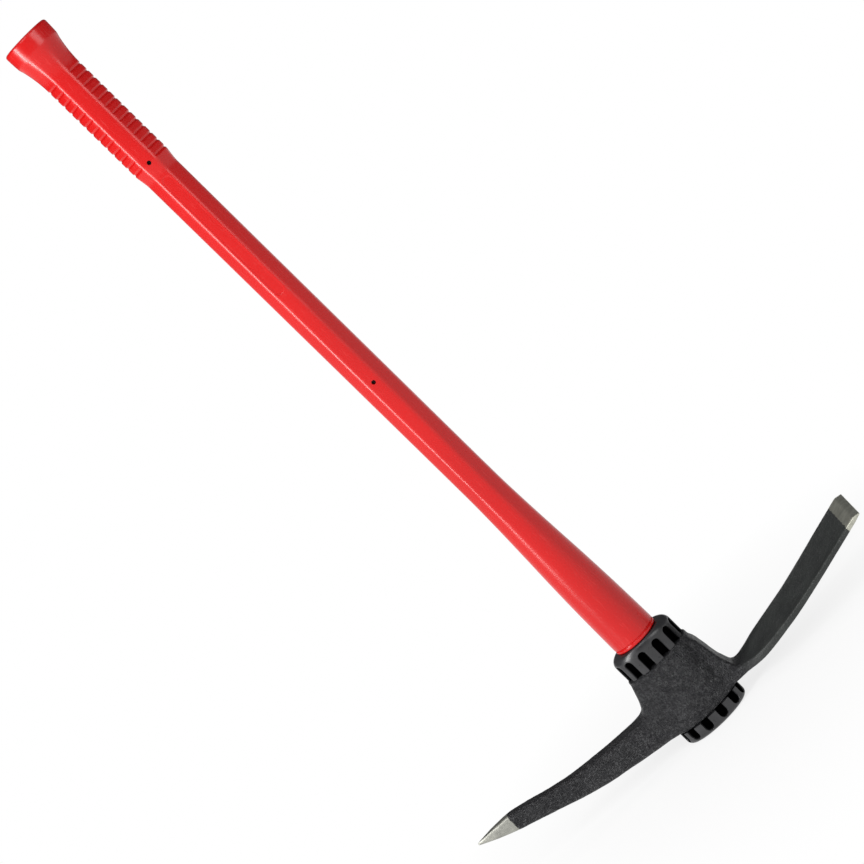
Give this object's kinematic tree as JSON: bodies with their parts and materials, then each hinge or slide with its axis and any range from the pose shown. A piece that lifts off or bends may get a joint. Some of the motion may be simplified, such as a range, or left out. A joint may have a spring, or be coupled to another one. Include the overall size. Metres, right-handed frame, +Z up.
{
  "type": "long-handled pick",
  "caption": "Long-handled pick with a forged head, one pointed arm and one broad chisel arm, on a moulded oval handle with a ribbed flared grip.",
  "frame": {"origin": "centre of the flat foot of the lower collar, on which the pick stands head down", "axes": "+Z up along the handle to the butt, +X along the chisel arm, -X along the point arm, -Y to the front"},
  "size_m": [0.4808, 0.081, 0.9],
  "materials": {
    "forged_head": "black lacquered forging with ground bare ends",
    "red_moulding": "satin gloss",
    "black_moulding": "satin",
    "glass_fibre": "dark pultruded glass fibre",
    "cast_resin": "clear amber casting resin"
  },
  "bodies": {
    "root": {"pick_head": "forged_head", "handle_jacket": "red_moulding", "handle_core": "glass_fibre", "butt_plug": "black_moulding", "upper_collar": "black_moulding", "lower_collar": "black_moulding", "eye_bush": "black_moulding", "bond_layer": "cast_resin"}
  },
  "joints": []
}
